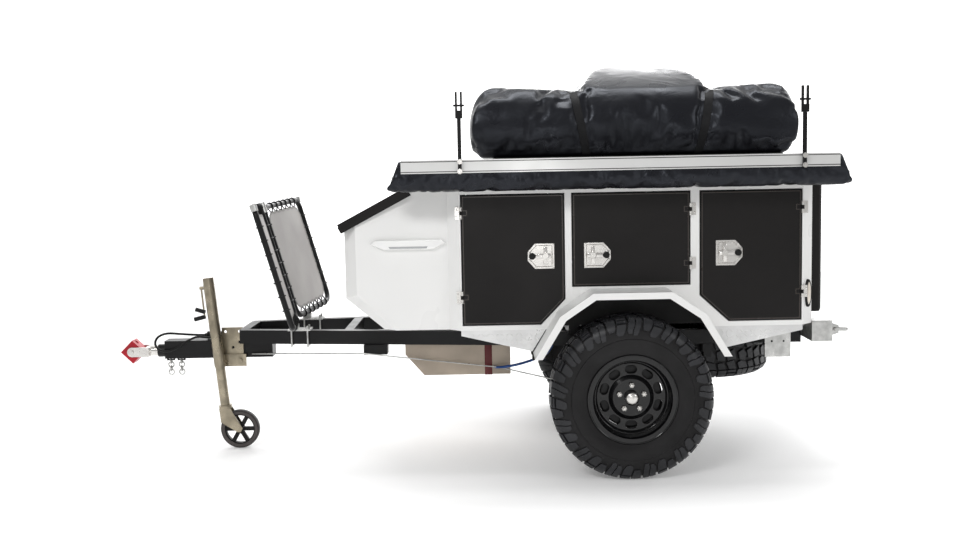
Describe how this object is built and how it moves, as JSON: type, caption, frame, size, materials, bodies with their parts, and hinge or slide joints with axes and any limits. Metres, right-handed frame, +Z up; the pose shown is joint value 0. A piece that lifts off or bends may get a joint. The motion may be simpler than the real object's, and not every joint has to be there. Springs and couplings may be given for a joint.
{
  "type": "off-road camping trailer",
  "caption": "Box-bodied off-road camping trailer on an A-frame chassis, with side doors, a lidded nose, a packed roof tent and an awning bag, parked on its jockey wheel.",
  "frame": {"origin": "on the ground, under the middle of the bounding box", "axes": "-X towards the hitch, +X towards the rear, -Y the side with the awning, +Z up"},
  "size_m": [3.92, 1.94, 2.066],
  "materials": {
    "white_paint": "satin paint",
    "door_black": "textured satin paint",
    "chassis_black": "satin paint",
    "rim_black": "gloss paint",
    "tyre": "matte",
    "galvanised": "dull zinc",
    "zinc_gold": "yellow zinc",
    "stainless": "pressed and polished",
    "anodised": "anodised",
    "checker": "checker plate",
    "pvc_black": "coated cloth",
    "mesh_grey": "woven mesh",
    "coupling_red": "moulded",
    "tan_tray": "moulded",
    "lamp_white": "moulded",
    "lamp_red": "lens",
    "black_plastic": "moulded",
    "wheel_rubber": "matte"
  },
  "bodies": {
    "chassis": {"awning_bag": "pvc_black", "awning_posts": "chassis_black", "awning_profile": "anodised", "axle_beam": "chassis_black", "body_bulkheads": "white_paint", "body_ends": "white_paint", "body_floor": "white_paint", "body_roof": "white_paint", "body_sides": "white_paint", "brake_cable": "galvanised", "chassis_frame": "chassis_black", "d_shackles": "galvanised", "guard_clamps": "galvanised", "guard_frames": "chassis_black", "guard_meshes": "mesh_grey", "hinge_leaves": "stainless", "jack_mount": "zinc_gold", "leaf_springs": "chassis_black", "nose_box": "white_paint", "porch_lamps": "lamp_white", "rear_bumper": "galvanised", "roof_rack": "chassis_black", "safety_chains": "galvanised", "sill_plates": "checker", "spare_rim": "rim_black", "spare_tyre": "tyre", "tail_lamps": "lamp_red", "tank_tray": "tan_tray", "tent_base": "black_plastic", "tent_pack": "pvc_black", "tongue": "chassis_black", "tow_lead": "black_plastic", "wheel_flares": "white_paint", "wheel_tubs": "black_plastic", "wiring_box": "black_plastic"},
    "wheel_left": {"tyre_left": "tyre", "rim_left": "rim_black"},
    "side_door_front_left": {"door_front_left": "door_black", "latch_front_left": "stainless"},
    "side_door_middle_left": {"door_middle_left": "door_black", "latch_middle_left": "stainless"},
    "side_door_rear_left": {"door_rear_left": "door_black", "latch_rear_left": "stainless"},
    "wheel_right": {"tyre_right": "tyre", "rim_right": "rim_black"},
    "side_door_front_right": {"door_front_right": "door_black", "latch_front_right": "stainless"},
    "side_door_middle_right": {"door_middle_right": "door_black", "latch_middle_right": "stainless"},
    "side_door_rear_right": {"door_rear_right": "door_black", "latch_rear_right": "stainless"},
    "hatch": {"rear_hatch": "door_black", "hatch_latches": "stainless"},
    "lid": {"nose_lid": "door_black"},
    "jack": {"jack_sleeve": "zinc_gold"},
    "leg": {"jack_leg": "zinc_gold"},
    "caster": {"jack_fork": "zinc_gold"},
    "caster_wheel": {"jack_wheel": "wheel_rubber"},
    "yoke": {"coupling_yoke": "stainless"},
    "hitch_block": {"coupling_block": "coupling_red"}
  },
  "joints": [
    {"name": "wheel_left_spin", "type": "hinge", "parent": "chassis", "child": "wheel_left", "pos_m": [0.82, -0.815, 0.402], "axis": [0, 1, 0], "continuous": true},
    {"name": "door_front_left_swing", "type": "hinge", "parent": "chassis", "child": "side_door_front_left", "pos_m": [-0.0055, -0.764, 1.1], "axis": [0, 0, -1], "range_deg": [0, 100]},
    {"name": "door_middle_left_swing", "type": "hinge", "parent": "chassis", "child": "side_door_middle_left", "pos_m": [1.1325, -0.764, 1.1], "axis": [0, 0, 1], "range_deg": [0, 100]},
    {"name": "door_rear_left_swing", "type": "hinge", "parent": "chassis", "child": "side_door_rear_left", "pos_m": [1.6875, -0.764, 1.1], "axis": [0, 0, 1], "range_deg": [0, 100]},
    {"name": "wheel_right_spin", "type": "hinge", "parent": "chassis", "child": "wheel_right", "pos_m": [0.82, 0.815, 0.402], "axis": [0, 1, 0], "continuous": true},
    {"name": "door_front_right_swing", "type": "hinge", "parent": "chassis", "child": "side_door_front_right", "pos_m": [-0.0055, 0.764, 1.1], "axis": [0, 0, 1], "range_deg": [0, 100]},
    {"name": "door_middle_right_swing", "type": "hinge", "parent": "chassis", "child": "side_door_middle_right", "pos_m": [1.1325, 0.764, 1.1], "axis": [0, 0, -1], "range_deg": [0, 100]},
    {"name": "door_rear_right_swing", "type": "hinge", "parent": "chassis", "child": "side_door_rear_right", "pos_m": [1.6875, 0.764, 1.1], "axis": [0, 0, -1], "range_deg": [0, 100]},
    {"name": "hatch_lift", "type": "hinge", "parent": "chassis", "child": "hatch", "pos_m": [1.7555, 0, 1.464], "axis": [0, -1, 0], "range_deg": [0, 90]},
    {"name": "lid_lift", "type": "hinge", "parent": "chassis", "child": "lid", "pos_m": [-0.254, 0, 1.462], "axis": [0, 1, 0], "range_deg": [0, 85]},
    {"name": "jack_swing", "type": "hinge", "parent": "chassis", "child": "jack", "pos_m": [-1.28, -0.07, 0.488], "axis": [0, -1, 0], "range_deg": [0, 90]},
    {"name": "jack_wind", "type": "slide", "parent": "jack", "child": "leg", "axis": [-0.0924, 0, 0.9957], "range_m": [0, 0.15]},
    {"name": "caster_swivel", "type": "hinge", "parent": "leg", "child": "caster", "pos_m": [-1.36274, -0.12, 0.236], "axis": [-0.0924, 0, 0.9957], "continuous": true},
    {"name": "caster_wheel_spin", "type": "hinge", "parent": "caster", "child": "caster_wheel", "pos_m": [-1.28382, -0.12, 0.1075], "axis": [0, 1, 0], "continuous": true},
    {"name": "yoke_roll", "type": "hinge", "parent": "chassis", "child": "yoke", "pos_m": [-1.75, 0, 0.54], "axis": [1, 0, 0], "continuous": true},
    {"name": "block_pitch", "type": "hinge", "parent": "yoke", "child": "hitch_block", "pos_m": [-1.894, 0, 0.54], "axis": [0, 1, 0], "range_deg": [-40, 40]}
  ]
}
